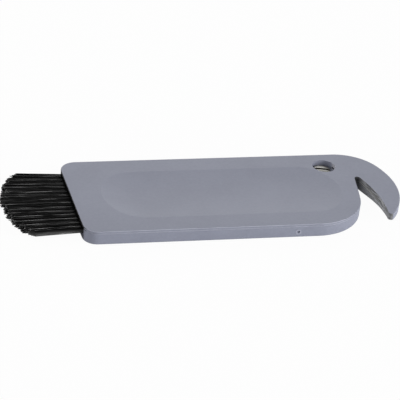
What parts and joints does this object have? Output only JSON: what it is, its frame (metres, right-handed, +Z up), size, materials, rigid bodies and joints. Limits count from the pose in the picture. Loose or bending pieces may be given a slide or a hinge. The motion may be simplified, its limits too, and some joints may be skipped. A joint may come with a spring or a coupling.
{
  "type": "cleaning brush with hair-cutting hook",
  "caption": "Flat plastic hand tool with a wide bristle brush at one end and a hook with a bladed notch at the other, for cleaning and cutting hair off a sweeper's brush roll.",
  "frame": {"origin": "under the middle of the whole tool, on the surface that it lies on", "axes": "+X along the handle towards the hook, +Y across it towards the hook's shoulder, +Z up through the cover"},
  "size_m": [0.1329, 0.0438, 0.0048],
  "materials": {
    "handle_plastic": "satin grey moulded plastic with a fine even grain",
    "blade_steel": "dull rolled strip with a ground edge",
    "screw_steel": "nickel plate, dull with use",
    "block_plastic": "black moulded plastic",
    "anchor_brass": "flattened wire",
    "bristle": "black extruded filament with a soft sheen along it"
  },
  "bodies": {
    "root": {"handle_tray": "handle_plastic", "handle_cover": "handle_plastic", "cutter_blade": "blade_steel", "cover_screw": "screw_steel", "brush_block": "block_plastic", "tuft_anchors": "anchor_brass", "tuft_01": "bristle", "tuft_02": "bristle", "tuft_03": "bristle", "tuft_04": "bristle", "tuft_05": "bristle", "tuft_06": "bristle", "tuft_07": "bristle", "tuft_08": "bristle", "tuft_09": "bristle", "tuft_10": "bristle", "tuft_11": "bristle", "tuft_12": "bristle", "tuft_13": "bristle", "tuft_14": "bristle"}
  },
  "joints": []
}
